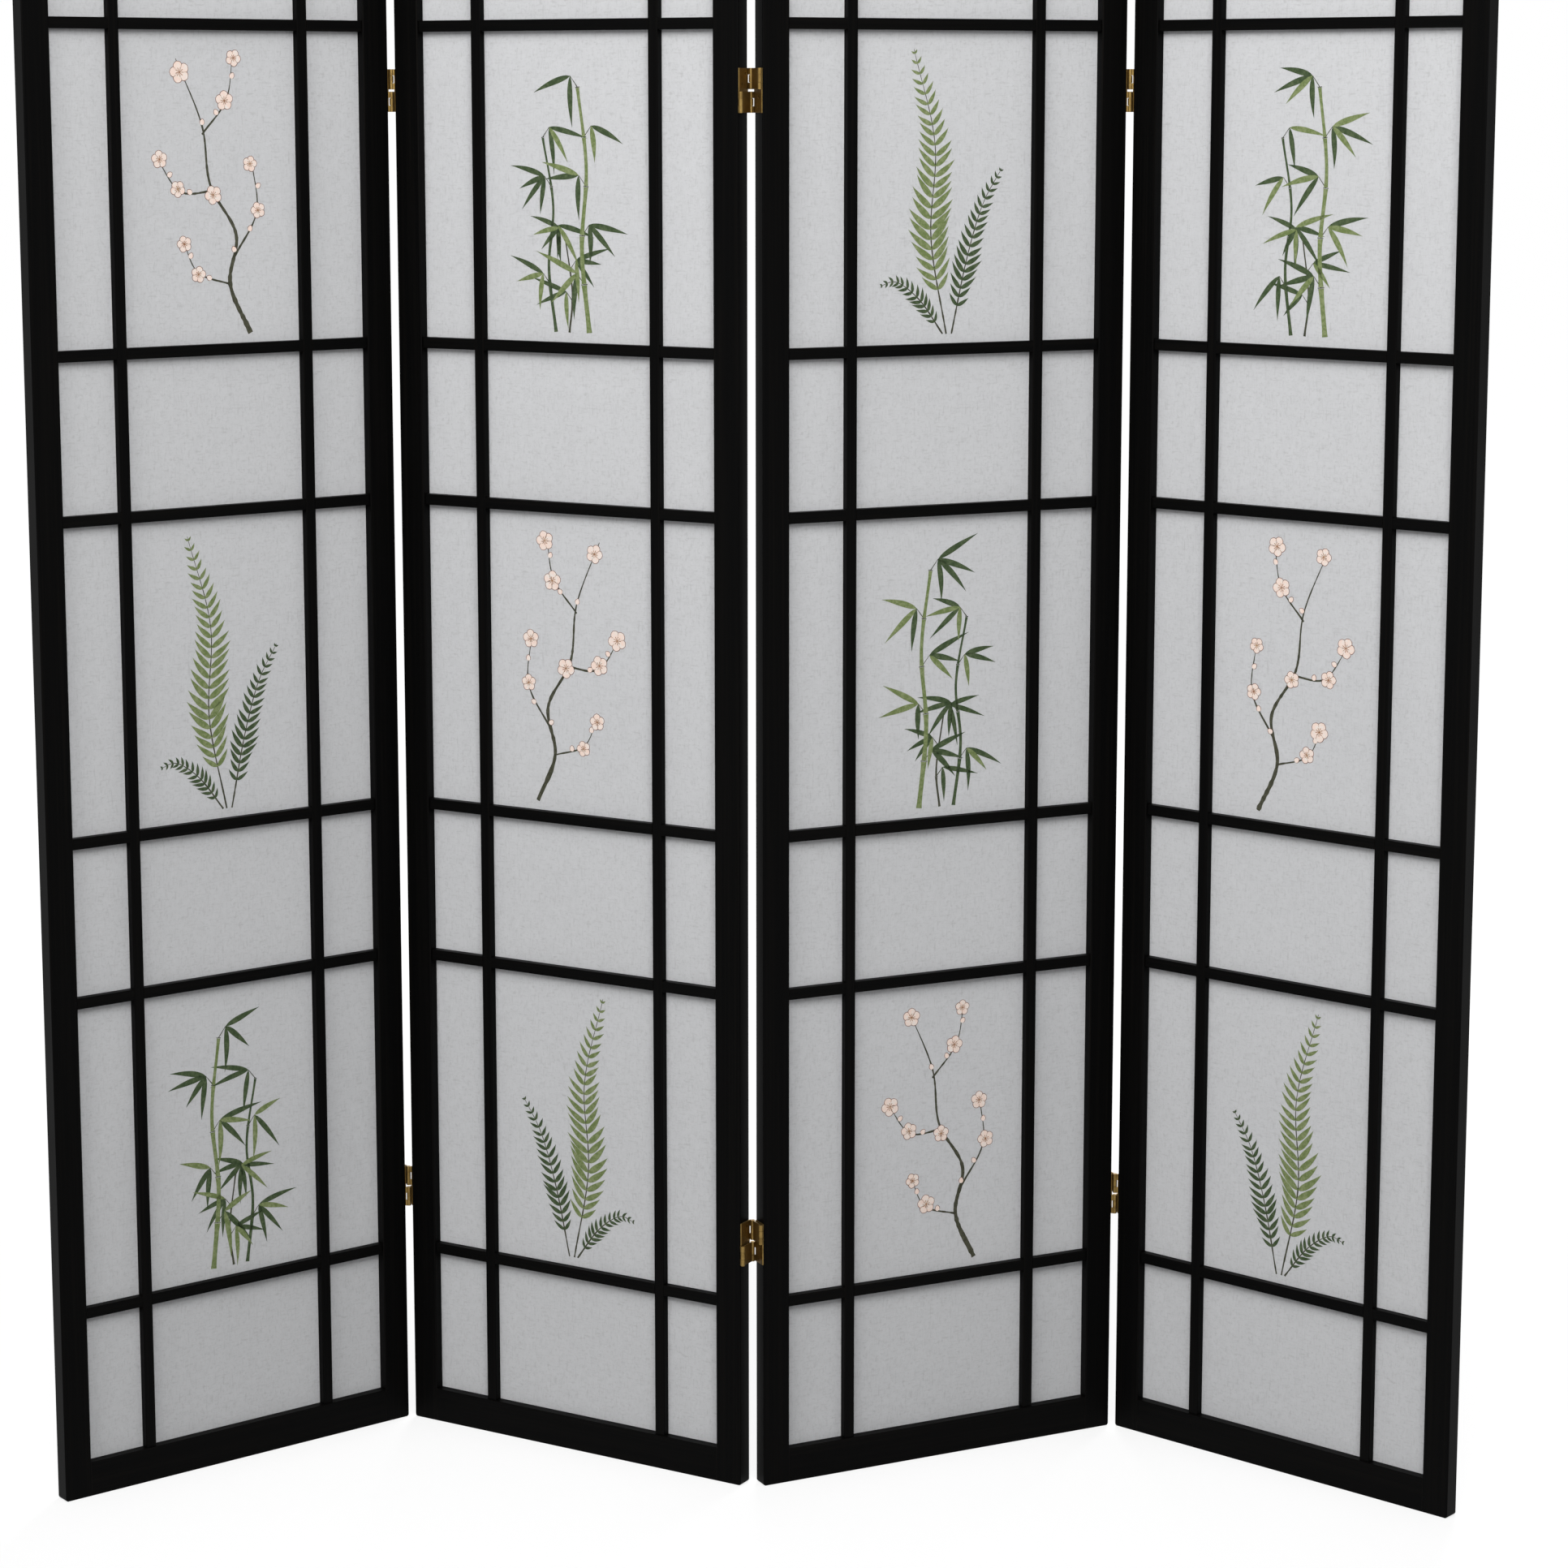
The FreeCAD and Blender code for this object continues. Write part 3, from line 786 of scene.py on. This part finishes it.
# %% Press the strokes on the paper
INK_LAYER = 0.05 * MM
INK_FILM = 0.02 * MM


def stroke_lines(strokes):
    """Strokes as a mesh of lines, with the brush's half width at every point."""
    points, edges, widths = [], [], []
    for path, half_widths in strokes:
        first = len(points)
        points.extend((x, z, 0) for x, z in path)
        edges.extend((first + i, first + i + 1) for i in range(len(path) - 1))
        widths.extend(half_widths)
    lines = bpy.data.meshes.new("strokes")
    lines.from_pydata(points, edges, [])
    lines.attributes.new("half_width", "FLOAT", "POINT").data.foreach_set("value", widths)
    return lines


def press(sketch, panel, relief, ink_name, layer):
    """Turns one ink's strokes into a thin film on the panel's paper."""
    mesh = grow(stroke_lines(sketch.strokes[ink_name]), brush, Material=ink_finishes[ink_name])
    x, z, _ = np.array([vertex.co for vertex in mesh.vertices]).T
    laid = np.stack([x, relief.at(x, z) - INK_LAYER * layer, z], axis=1)
    mesh.vertices.foreach_set("co", laid.ravel())
    film = stand_up(f"{panel.name}_print_{ink_name}", mesh, panel)
    if mesh.polygons[0].normal.y > 0:
        mesh.flip_normals()
    mesh.shade_flat()
    thicken(film, INK_FILM)
    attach(film, panel.name)
    return film


print(len(INKS), "inks stand", round(len(INKS) * INK_LAYER / MM, 2), "mm high")

# %% [markdown]
# Each print stands in one cell of the lattice. Stems placed in millimetres would leave it as soon
# as the screen was built narrower, so they are placed by shares of the cell's width and height. The
# cell turns shares into metres, and mirrors them on request.

# %% Fit a drawing to its cell
class Cell:
    """A print's cell: shares of its width, from the middle, and of its height, as metres."""

    def __init__(self, column, row, mirror):
        self.foot = np.array([(column[0] + column[1]) / 2, row[0]])
        self.size = np.array([(column[1] - column[0]) * mirror, row[1] - row[0]])
        self.mirror = mirror

    def at(self, shares):
        return self.foot + np.array(shares) * self.size

    def heading(self, degrees):
        """An angle from the level, turned the other way in a mirrored cell."""
        return math.radians(degrees if self.mirror > 0 else 180 - degrees)


def larger_than_usual(stretches):
    usual = sum(high - low for low, high in stretches) / len(stretches)
    return [stretch for stretch in stretches if stretch[1] - stretch[0] > usual]


print("rows for prints:", len(larger_than_usual(panels[0].rows)))

# %% [markdown]
# ## Bamboo
# A cane is a row of internodes with a small gap at each joint, swelling towards it and thinner
# towards the tip. A dark hook marks the joint. Short twigs leave the joints on alternate sides, and
# each ends in a fan of narrow leaves that hang. One long stroke would make a reed of it: drawing
# every internode as its own stroke is what makes it bamboo.

# %% Draw a sprig of bamboo
SPRIG_RISE = 52
BAMBOO_TWIG = 15 * MM
BAMBOO_TWIG_WIDTHS = (1.1 * MM, 0.6 * MM)
BAMBOO_FAN = (-80, -44, -10, 24)
BAMBOO_FAN_SPREAD = 7
BAMBOO_LEAF = 54 * MM
BAMBOO_LEAF_WIDTH = 6.6 * MM
BAMBOO_LEAF_FULLEST = 0.36
BAMBOO_LEAF_LENGTHS = (0.72, 1.05)
BAMBOO_LEAF_DROOP = (0.05, 0.3)
FALLEN_LEAVES = 0.2
DARK_LEAVES = 0.7


def bamboo_sprig(sketch, cell, rng, knot, side, scale):
    def outward(degrees):
        return cell.heading(degrees if side > 0 else 180 - degrees)

    tip = knot + polar(outward(SPRIG_RISE), BAMBOO_TWIG * scale)
    sketch.line("bark", smooth_curve([knot, (knot + tip) / 2, tip]), *BAMBOO_TWIG_WIDTHS)
    for fan in BAMBOO_FAN:
        if rng.random() < FALLEN_LEAVES:
            continue
        length = BAMBOO_LEAF * scale * rng.uniform(*BAMBOO_LEAF_LENGTHS)
        droop = -side * cell.mirror * rng.uniform(*BAMBOO_LEAF_DROOP)
        ink_name = "leaf" if rng.random() < DARK_LEAVES else "moss"
        heading = outward(fan + rng.uniform(-BAMBOO_FAN_SPREAD, BAMBOO_FAN_SPREAD))
        sketch.leaf(ink_name, tip, heading, length, BAMBOO_LEAF_WIDTH * scale, droop,
                    fullest=BAMBOO_LEAF_FULLEST)


print("leaves to a sprig, at most:", len(BAMBOO_FAN))

# %% Draw bamboo
INTERNODE_POINTS = 15
NODE_SWELL = 0.28
BAMBOO_CANES = (
    (((-0.12, 0.03), (-0.08, 0.30), (-0.11, 0.56), (-0.06, 0.82)), 5.6 * MM, 5, "moss"),
    (((0.08, 0.03), (0.12, 0.24), (0.09, 0.44), (0.15, 0.66)), 3.8 * MM, 4, "leaf"),
    (((0.00, 0.03), (-0.02, 0.16), (0.02, 0.34)), 2.4 * MM, 3, "bark"),
)
CANE_TAPER = 0.45
INTERNODE_GAP_SHARE = 0.014
INTERNODE_PRESSURE = 1 + NODE_SWELL * np.linspace(-1, 1, INTERNODE_POINTS) ** 4
NODE_HOOK = 0.9 * MM
NODE_HOOK_REACH = 0.75
SPRIG_SCALES = (0.72, 1.0)


def draw_bamboo(sketch, cell, rng):
    stoutest = BAMBOO_CANES[0][1]
    for points, thickness, internodes, ink_name in BAMBOO_CANES:
        cane = smooth_curve(cell.at(points))
        along = np.linspace(0, internodes, len(cane))
        scale = SPRIG_SCALES[0] + (SPRIG_SCALES[1] - SPRIG_SCALES[0]) * thickness / stoutest
        for number in range(1, internodes + 1):
            stations = np.linspace(number - 1 + INTERNODE_GAP_SHARE, number - INTERNODE_GAP_SHARE,
                                   INTERNODE_POINTS)
            path = np.stack([np.interp(stations, along, axis) for axis in cane.T], axis=1)
            thick = thickness * (1 - CANE_TAPER * (number - 1) / internodes)
            sketch.stroke(ink_name, path, thick * INTERNODE_PRESSURE)
            sideways = heading_of(path[-1] - path[-2]) + math.pi / 2
            reach = polar(sideways, thick * NODE_HOOK_REACH)
            knot = np.array([np.interp(number, along, axis) for axis in cane.T])
            sketch.line("bark", straight(knot - reach, knot + reach), NODE_HOOK, NODE_HOOK)
            bamboo_sprig(sketch, cell, rng, knot, 1 if number % 2 else -1, scale)


print("bamboo canes:", len(BAMBOO_CANES))

# %% [markdown]
# ## Plum blossom
# An old plum branch bends at every bud, and its flowers sit straight on the wood, before any leaf.
# Each has five round petals with a fine printed outline. An outline could be a line drawn round the
# petal, but a darker, slightly larger petal under each pale one gives the same rim with no more
# rules. Short strokes from the middle make the stamens.

# %% Draw a plum flower
PETALS = 5
PETAL = 10.4 * MM
PETAL_WIDTH_SHARE = 0.84
PETAL_FULLEST = 0.62
PETAL_POINT = 0.6
PETAL_OUTLINE = 1.1 * MM
STAMENS = 9
STAMEN_REACH = 0.42
STAMEN_WIDTHS = (0.3 * MM, 0.75 * MM)
SEAM_REACHES = (0.5, 0.74)
SEAM_WIDTHS = (0.25 * MM, 0.5 * MM)


def draw_petal(sketch, base, heading, length, width, fullest):
    """A pale petal on a darker one that shows as its outline."""
    sketch.leaf("outline", base, heading, length + PETAL_OUTLINE / 2, width + PETAL_OUTLINE,
                fullest=fullest, point=PETAL_POINT)
    sketch.leaf("petal", base, heading, length, width, fullest=fullest, point=PETAL_POINT)


def draw_blossom(sketch, middle, turn, scale):
    reach = PETAL * scale
    for petal in range(PETALS):
        heading = turn + 2 * math.pi * petal / PETALS
        draw_petal(sketch, middle, heading, reach, reach * PETAL_WIDTH_SHARE, PETAL_FULLEST)
    for stamen in range(STAMENS):
        tip = middle + polar(turn + 2 * math.pi * stamen / STAMENS, reach * STAMEN_REACH)
        sketch.line("heart", straight(middle, tip), *STAMEN_WIDTHS)
    for petal in range(PETALS):
        seam = turn + 2 * math.pi * (petal + 0.5) / PETALS
        inner, outer = (middle + polar(seam, reach * share) for share in SEAM_REACHES)
        sketch.line("heart", straight(inner, outer), *SEAM_WIDTHS)


print("petals to a flower:", PETALS)

# %% Draw plum blossom
PLUM_BRANCHES = (
    (((0.22, 0.03), (0.11, 0.19), (0.15, 0.35), (0.01, 0.51), (-0.03, 0.70), (-0.17, 0.91)),
     5.6 * MM),
    (((0.14, 0.28), (0.27, 0.42), (0.25, 0.58)), 2.6 * MM),
    (((0.03, 0.49), (-0.16, 0.49), (-0.29, 0.60)), 2.6 * MM),
    (((-0.03, 0.67), (0.11, 0.78), (0.15, 0.92)), 2.2 * MM),
    (((0.11, 0.19), (-0.07, 0.23), (-0.15, 0.33)), 2.2 * MM),
)
TWIG_TIP = 0.8 * MM
BLOSSOM_SHARES = (0.52, 0.96)
BLOSSOM_DRIFT = PETAL / 3
BLOSSOM_SCALES = (0.8, 1.12)
BUD_SHARES = (0.30, 0.76)
BUD_HEADINGS = (0.15, 0.85)
BUD = 6.5 * MM
BUD_WIDTH = 0.8 * BUD


def draw_plum(sketch, cell, rng):
    for points, thickness in PLUM_BRANCHES:
        branch = smooth_curve(cell.at(points))
        sketch.line("bark", branch, thickness, TWIG_TIP)
        for share in BLOSSOM_SHARES:
            wood = branch[round(share * (len(branch) - 1))]
            middle = wood + rng.uniform(-1, 1, 2) * BLOSSOM_DRIFT
            turn = rng.uniform(0, 2 * math.pi)
            draw_blossom(sketch, middle, turn, rng.uniform(*BLOSSOM_SCALES))
        for share in BUD_SHARES:
            wood = branch[round(share * (len(branch) - 1))]
            heading = rng.uniform(*BUD_HEADINGS) * math.pi
            draw_petal(sketch, wood, heading, BUD, BUD_WIDTH, LEAF_FULLEST)


print("plum branches:", len(PLUM_BRANCHES))

# %% [markdown]
# ## Fern
# A fern frond is a rib with pairs of narrow leaflets that are longest near the foot and fade to
# nothing at the tip. Each leaflet could have its own length in a list. One rule for the length
# along the rib gives the whole outline instead, and a little chance keeps pairs from matching.

# %% Draw fern
FERN_FRONDS = (
    (((0.02, 0.03), (-0.07, 0.34), (-0.05, 0.64), (-0.17, 0.94)), 24, 40 * MM, "moss"),
    (((0.05, 0.03), (0.13, 0.26), (0.22, 0.44), (0.33, 0.56)), 18, 26 * MM, "leaf"),
    (((0.00, 0.03), (-0.13, 0.14), (-0.26, 0.20), (-0.35, 0.19)), 13, 17 * MM, "leaf"),
)
FERN_RIB_WIDTHS = (2.0 * MM, 0.6 * MM)
LEAFLET_SHARES = (0.16, 0.985)
LEAFLET_FADE = 0.62
LEAFLET_FOOT = 0.55
LEAFLET_FOOT_GROWTH = 2.2
LEAFLET_LEAST = 2 * MM
LEAFLET_LENGTHS = (0.9, 1.05)
LEAFLET_RISE = math.radians(58)
LEAFLET_RISES = (0.92, 1.06)
LEAFLET_WIDTH_SHARE = 0.17
LEAFLET_LEAST_WIDTH = 1.4 * MM
LEAFLET_BEND = 0.35
LEAFLET_FULLEST = 0.34


def leaflet_length(longest, along):
    """Just over half of the longest at the foot, soon full, then fading towards the tip."""
    grown = min(1, LEAFLET_FOOT + LEAFLET_FOOT_GROWTH * along)
    return longest * (1 - along) ** LEAFLET_FADE * grown


def draw_fern(sketch, cell, rng):
    for points, pairs, longest, ink_name in FERN_FRONDS:
        rib = smooth_curve(cell.at(points))
        sketch.line("bark", rib, *FERN_RIB_WIDTHS)
        for share in np.linspace(*LEAFLET_SHARES, pairs):
            spot = share * (len(rib) - 1)
            low = min(int(spot), len(rib) - 2)
            step = rib[low + 1] - rib[low]
            base = rib[low] + step * (spot - low)
            along = (share - LEAFLET_SHARES[0]) / (1 - LEAFLET_SHARES[0])
            length = leaflet_length(longest, along) + LEAFLET_LEAST
            width = length * LEAFLET_WIDTH_SHARE + LEAFLET_LEAST_WIDTH
            for side in (-1, 1):
                heading = heading_of(step) + side * LEAFLET_RISE * rng.uniform(*LEAFLET_RISES)
                sketch.leaf(ink_name, base, heading, length * rng.uniform(*LEAFLET_LENGTHS), width,
                            bend=-side * LEAFLET_BEND, fullest=LEAFLET_FULLEST)


print("fern fronds:", len(FERN_FRONDS))

# %% [markdown]
# ## The prints on the screen
# Each panel has three prints, in the tall cells of its middle column. The three plants take turns,
# so that no cell has the same plant beside it or above it. Panels two and four are printed in
# mirror image. No two sprigs are alike, so chance draws each panel from a seed of its own, which
# gives the same leaves on every run.

# %% Print the panels
DRAWINGS = {"bamboo": draw_bamboo, "plum": draw_plum, "fern": draw_fern}
PRINT_PLAN = (("plum", "fern", "bamboo"), ("bamboo", "plum", "fern"),
              ("fern", "bamboo", "plum"), ("bamboo", "plum", "fern"))
PRINT_SEED = 20
HAND_SEED = 50

films = []
for i, (panel, relief, plan) in enumerate(zip(panels, reliefs, PRINT_PLAN)):
    sketch = Sketch(np.random.default_rng(HAND_SEED + i))
    rng = np.random.default_rng(PRINT_SEED + i)
    column = larger_than_usual(panel.columns)[0]
    for plant, row in zip(plan, reversed(larger_than_usual(panel.rows))):
        DRAWINGS[plant](sketch, Cell(column, row, -1 if i % 2 else 1), rng)
    for layer, ink_name in enumerate(INKS, start=1):
        films.append(press(sketch, panel, relief, ink_name, layer))
print("print films:", len(films), "with", sum(len(film.data.polygons) for film in films), "faces")

# %% [markdown]
# ## Screws
# Each hinge leaf is held by four countersunk screws with a cross recess. The frame has plain turned
# screws, so the visible ones are made again. A bump in the material could fake the cross, but it
# would be missing from the mesh. Two crossed bars cut out of the head by a Boolean make a true
# recess, and one such screw serves a whole side of a fold. Plain sums turn the profile, because the
# Spin operator numbers its corners differently from run to run.

# %% Turn a screw
SCREW_SIDES = 28
SCREW_HEAD_SHARE = 0.075
SCREW_POINT_SHARE = 0.19
SCREW_SHANK_SHARE = 0.52


def turned_screw(radius, length):
    """A screw along x with the flat of its head at zero, facing plus x."""
    shank = radius * SCREW_SHANK_SHARE
    profile = ((0, radius), (-length * SCREW_HEAD_SHARE, shank),
               (-length * (1 - SCREW_POINT_SHARE), shank))
    middle, tip = 0, 1
    corners = [(0, 0, 0), (-length, 0, 0)]
    lines = []
    for side in range(SCREW_SIDES):
        angle = 2 * math.pi * side / SCREW_SIDES
        lines.append(range(len(corners), len(corners) + len(profile)))
        corners += [(x, r * math.cos(angle), r * math.sin(angle)) for x, r in profile]
    faces = []
    for line, following in zip(lines, lines[1:] + lines[:1]):
        faces += [(middle, line[0], following[0]), (line[-1], tip, following[-1])]
        for i in range(len(profile) - 1):
            faces.append((line[i], line[i + 1], following[i + 1], following[i]))
    mesh = bpy.data.meshes.new("screw")
    mesh.from_pydata(corners, [], faces)
    return add_object("screw", mesh)


print("sides of a screw:", SCREW_SIDES)

# %% Cut the cross
RECESS_ARM_SHARE = 0.62
RECESS_WIDTH_SHARE = 0.17


def cutting_bar(size):
    shape = bmesh.new()
    bmesh.ops.create_cube(shape, size=1, matrix=Matrix.Diagonal((*size, 1)))
    mesh = bpy.data.meshes.new("bar")
    shape.to_mesh(mesh)
    shape.free()
    return add_object("bar", mesh)


def recessed_screw(radius, length):
    """The screw with a cross cut into its head."""
    screw = turned_screw(radius, length)
    bars = []
    for across, up in ((RECESS_ARM_SHARE, RECESS_WIDTH_SHARE),
                       (RECESS_WIDTH_SHARE, RECESS_ARM_SHARE)):
        size = (2 * length * SCREW_HEAD_SHARE, 2 * radius * across, 2 * radius * up)
        bars.append(cutting_bar(size))
        cut = screw.modifiers.new("recess", "BOOLEAN")
        cut.operation = "DIFFERENCE"
        cut.solver = "MANIFOLD"
        cut.object = bars[-1]
    ready = screw.evaluated_get(bpy.context.evaluated_depsgraph_get())
    finished = add_object("recessed_screw", bpy.data.meshes.new_from_object(ready))
    for spare in (screw, *bars):
        bpy.data.objects.remove(spare)
    return finished


print("arms of the recess:", RECESS_ARM_SHARE, "of the head")

# %% [markdown]
# Copying the screw by hand would need a place and a turn for each of the forty-eight. A second tree
# sets a copy on each point of a small mesh, read from the plain screws in the frame, and turns it
# by the point's own spin, because no fitter stops every slot at the same angle.

# %% Set screws on points
def screw_tree():
    tree, start, end = new_tree("screws", [("Screw", "NodeSocketObject"),
                                           ("Facing", "NodeSocketFloat"),
                                           ("Material", "NodeSocketMaterial")])
    shape = add_node(tree, "GeometryNodeObjectInfo")
    spin = add_node(tree, "GeometryNodeInputNamedAttribute", {"data_type": "FLOAT"}, Name="spin")
    angles = add_node(tree, "ShaderNodeCombineXYZ")
    turn = add_node(tree, "FunctionNodeEulerToRotation")
    copies = add_node(tree, "GeometryNodeInstanceOnPoints")
    wire(tree, start.outputs["Screw"], shape.inputs["Object"])
    wire(tree, spin.outputs["Attribute"], angles.inputs["X"])
    wire(tree, start.outputs["Facing"], angles.inputs["Z"])
    wire(tree, angles.outputs["Vector"], turn.inputs["Euler"])
    wire(tree, start.outputs["Geometry"], copies.inputs["Points"])
    wire(tree, shape.outputs["Geometry"], copies.inputs["Instance"])
    wire(tree, turn.outputs["Rotation"], copies.inputs["Rotation"])
    finish_tree(tree, start, copies.outputs["Instances"], end)
    return tree


screws_tree = screw_tree()
print("screw tree inputs:", [item.name for item in screws_tree.interface.items_tree])

# %% Drive the screws
SCREW_SEED = 3
SCREW_GAP = 1 * MM


def drive_screws(node, panel, facing, rng):
    """Screws for one side of a fold, at the places where the frame has its plain ones."""
    flat = panel.flat(vertices_of(node))
    heights = spans(flat[:, 2], SCREW_GAP)
    radius = (heights[0][1] - heights[0][0]) / 2
    length = flat[:, 0].max() - flat[:, 0].min()
    face = flat[:, 0].max() if facing > 0 else flat[:, 0].min()
    points = []
    for low, high in heights:
        own = flat[(flat[:, 2] >= low) & (flat[:, 2] <= high)]
        points.append((face, (own[:, 1].min() + own[:, 1].max()) / 2, (low + high) / 2))
    base = bpy.data.meshes.new("screw_places")
    base.from_pydata(points, [], [])
    spins = rng.uniform(0, math.pi / 2, len(points))
    base.attributes.new("spin", "FLOAT", "POINT").data.foreach_set("value", spins)
    shape = recessed_screw(radius, length)
    mesh = grow(base, screws_tree, Screw=shape, Facing=0.0 if facing > 0 else math.pi,
                Material=brass_finish)
    bpy.data.objects.remove(shape)
    screws = stand_up(f"{node}_recessed", mesh, panel)
    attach(screws, panel.name)
    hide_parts(node)
    return len(points)


screw_rng = np.random.default_rng(SCREW_SEED)
driven = 0
for left, right in zip(panels[:-1], panels[1:]):
    fold = f"hinge_{left.number}_{right.number}"
    driven += drive_screws(f"{fold}_left_screws", left, 1, screw_rng)
    driven += drive_screws(f"{fold}_right_screws", right, -1, screw_rng)
print("screws:", driven)
